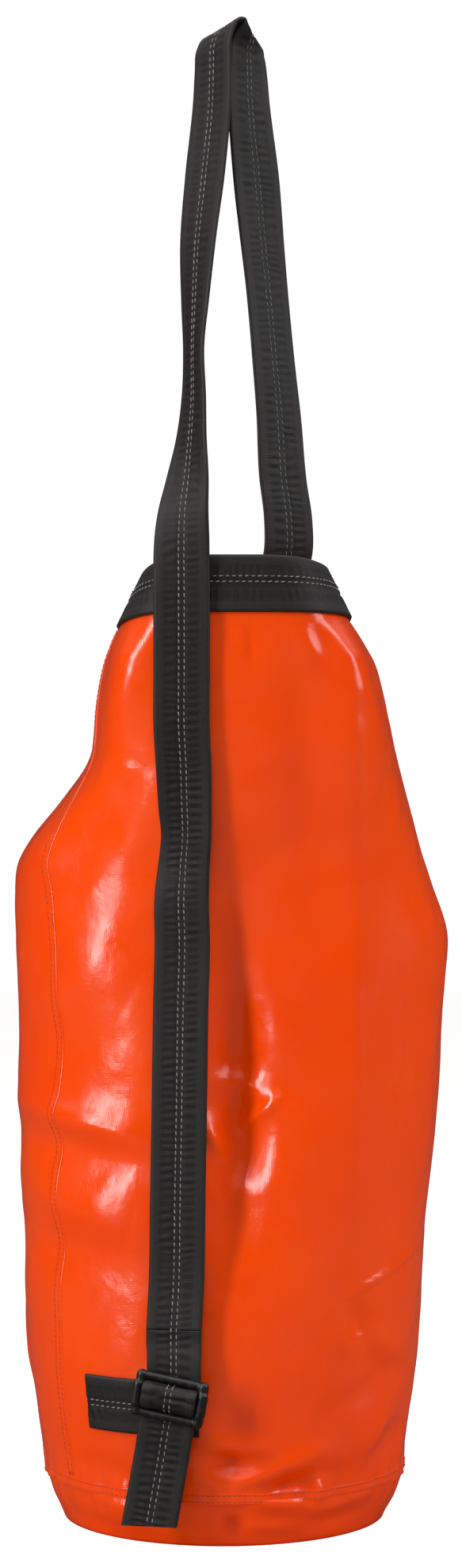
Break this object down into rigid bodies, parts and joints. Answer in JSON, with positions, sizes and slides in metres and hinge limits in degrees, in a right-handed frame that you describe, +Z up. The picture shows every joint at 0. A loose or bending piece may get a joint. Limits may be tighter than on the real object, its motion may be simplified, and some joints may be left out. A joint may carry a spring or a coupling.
{
  "type": "rope storage bag",
  "caption": "Tall open-topped tarpaulin rope bag on a round base, with a webbing band round its pinched mouth and one long shoulder strap adjusted by a buckle near the base.",
  "frame": {"origin": "middle of the flat underside of the round base", "axes": "+Z up through the mouth, -Y is the side with the strap, +X to the right when the strap side is faced"},
  "size_m": [0.306, 0.3391, 1.0322],
  "materials": {
    "orange_tarpaulin": "glossy PVC-coated polyester tarpaulin, soft creases",
    "black_webbing": "folded black coated-fabric webbing with puckered twin-row stitching",
    "grey_thread": "bonded polyester thread, light grey",
    "orange_thread": "bonded polyester thread, dark orange",
    "black_acetal": "moulded black acetal, semi-gloss"
  },
  "bodies": {
    "root": {"body_panel": "orange_tarpaulin", "side_seam_lap": "orange_tarpaulin", "base_panel": "orange_tarpaulin", "base_seam_binding": "orange_tarpaulin", "rim_hem": "orange_tarpaulin", "rim_band": "black_webbing", "strap_sewn_end": "black_webbing", "strap_front_run": "black_webbing", "buckle_loop": "black_webbing", "anchor_patch": "black_webbing", "rim_stitching": "grey_thread", "front_run_stitching": "grey_thread", "anchor_stitching": "grey_thread", "base_seam_stitching": "orange_thread", "side_seam_stitching": "orange_thread"},
    "strap_loop": {"shoulder_strap_loop": "black_webbing", "loop_stitching": "grey_thread"},
    "buckle": {"buckle_frame": "black_acetal", "strap_bar_wrap": "black_webbing"},
    "tail": {"strap_tail": "black_webbing", "tail_stitching": "grey_thread"}
  },
  "joints": [
    {"name": "strap_swing", "type": "hinge", "parent": "root", "child": "strap_loop", "pos_m": [0.008, -0.1544, 0.68], "axis": [0.9732, 0.2298, 0], "range_deg": [-75, 78]},
    {"name": "buckle_tilt", "type": "hinge", "parent": "root", "child": "buckle", "pos_m": [-0.03623, -0.13857, 0.0942], "axis": [0.9633, -0.2048, -0.1736], "range_deg": [0, 12]},
    {"name": "tail_flap", "type": "hinge", "parent": "buckle", "child": "tail", "pos_m": [-0.03793, -0.14353, 0.09065], "axis": [0.9633, -0.2048, -0.1736], "range_deg": [-75, 0]}
  ]
}
